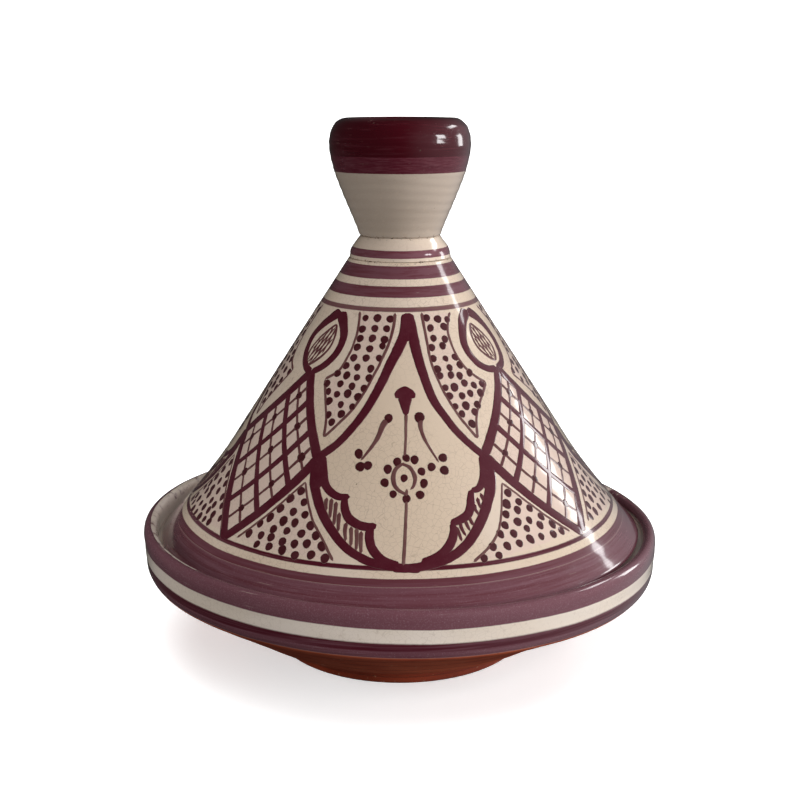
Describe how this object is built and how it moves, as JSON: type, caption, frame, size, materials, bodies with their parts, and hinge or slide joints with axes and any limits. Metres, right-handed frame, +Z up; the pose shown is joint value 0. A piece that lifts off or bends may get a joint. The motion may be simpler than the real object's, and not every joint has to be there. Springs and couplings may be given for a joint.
{
  "type": "tagine pot",
  "caption": "Round footed serving dish with a ledge inside its rim, under a tall conical lid with a collar and a cup-shaped knob that lifts off.",
  "frame": {"origin": "centre of the foot's standing face, on the table", "axes": "+Z up along the pot's axis of revolution, towards the knob; the middle of the front painted panel faces -Y"},
  "size_m": [0.3, 0.3, 0.305],
  "materials": {
    "dish_glaze": "gloss",
    "foot_clay": "matte",
    "lid_glaze": "gloss",
    "collar_glaze": "gloss",
    "knob_glaze": "gloss"
  },
  "bodies": {
    "dish": {"dish": "dish_glaze", "foot_ring": "foot_clay"},
    "lid": {"lid_cone": "lid_glaze", "neck_collar": "collar_glaze", "lid_knob": "knob_glaze"}
  },
  "joints": [
    {"name": "lid_lift", "type": "slide", "parent": "dish", "child": "lid", "axis": [0, 0, 1], "range_m": [0, 0.2]}
  ]
}
